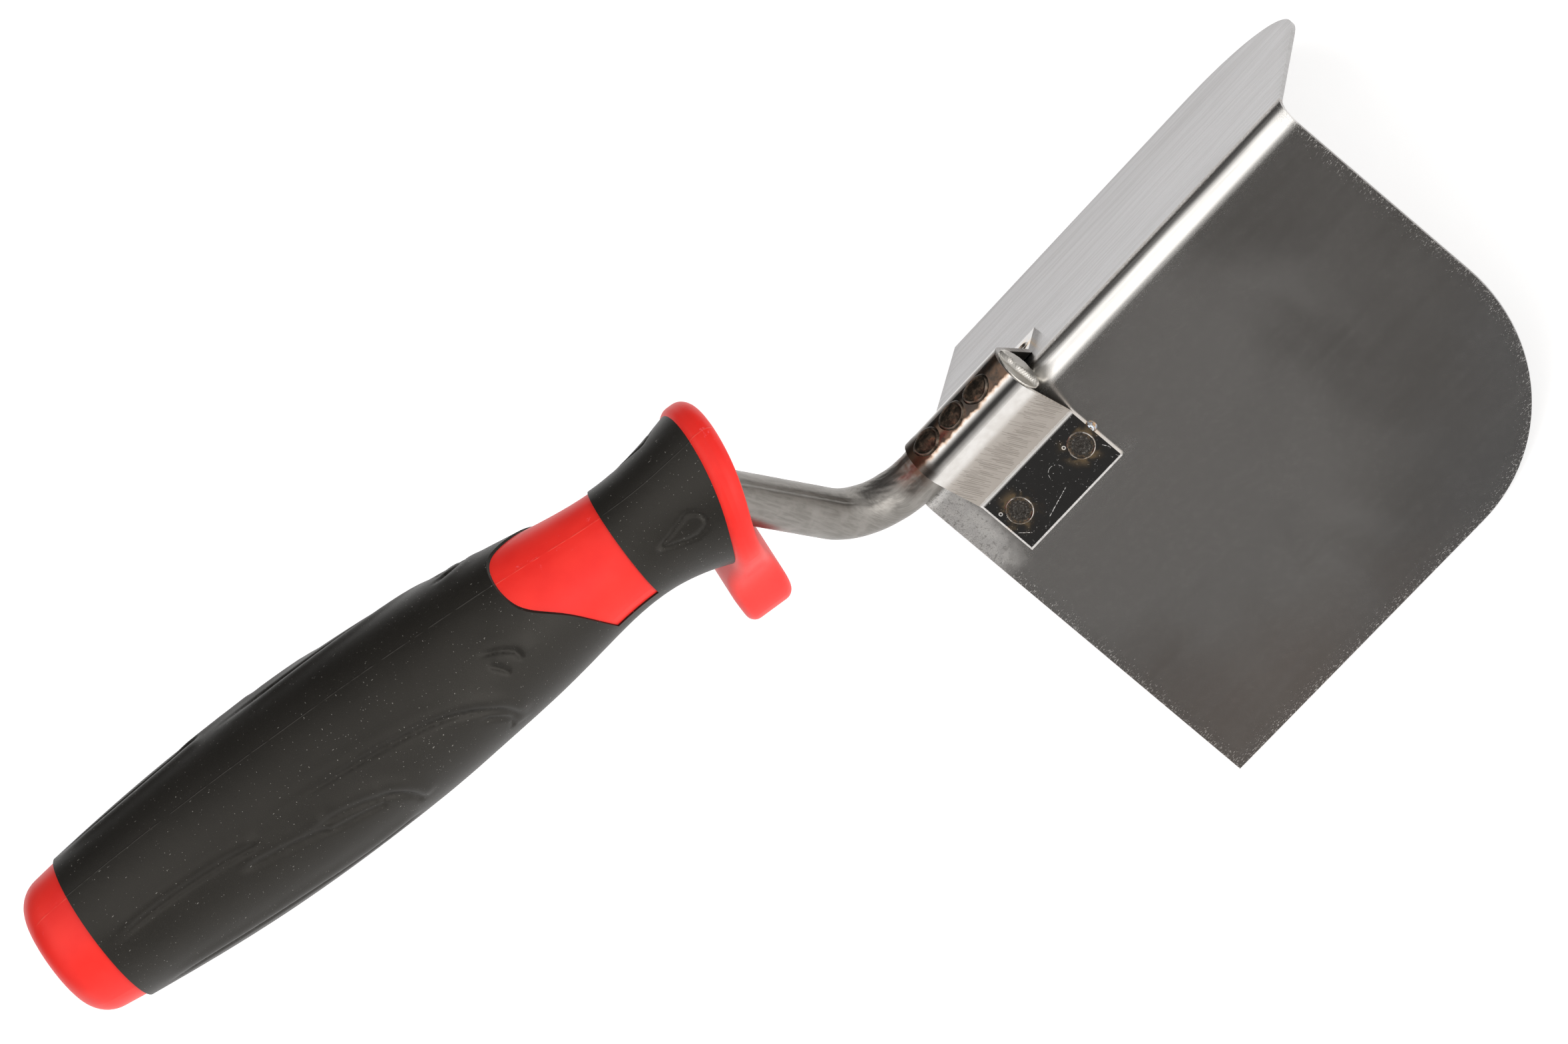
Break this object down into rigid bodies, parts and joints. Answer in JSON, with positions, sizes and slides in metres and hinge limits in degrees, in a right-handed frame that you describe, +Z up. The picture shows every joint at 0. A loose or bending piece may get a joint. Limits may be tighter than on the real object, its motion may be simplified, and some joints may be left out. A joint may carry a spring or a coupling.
{
  "type": "corner trowel",
  "caption": "Corner trowel for plaster: a right-angle folded sheet blade on a bent rod shank, held by a strap and weld metal, with a two-colour moulded handle and finger stop.",
  "frame": {"origin": "centre of the footprint, level with the lower edges of the blade's flanges", "axes": "+X along the fold from the handle end to the toe, +Y across the tool, +Z up towards the handle"},
  "size_m": [0.201, 0.0898, 0.1297],
  "materials": {
    "blade_steel": "polished stainless sheet with fine scratches",
    "strap_steel": "bright stainless sheet, brushed on its sloping webs, heat tinted beside the welds",
    "shank_steel": "satin drawn rod with press marks at the bend",
    "weld_metal": "oxidised weld metal, dark brown with amber edges",
    "spot_weld_metal": "pressed disc with concentric rings and a straw-coloured halo",
    "red_plastic": "satin moulded hard plastic",
    "black_grip": "matte soft moulding with fine grain"
  },
  "bodies": {
    "root": {"blade": "blade_steel", "shank": "shank_steel", "strap": "strap_steel", "plug_weld_heel": "weld_metal", "plug_weld_middle": "weld_metal", "plug_weld_toe": "weld_metal", "left_spot_welds": "spot_weld_metal", "right_spot_welds": "spot_weld_metal", "tack_weld": "weld_metal", "handle_core": "red_plastic", "handle_grip": "black_grip"}
  },
  "joints": []
}
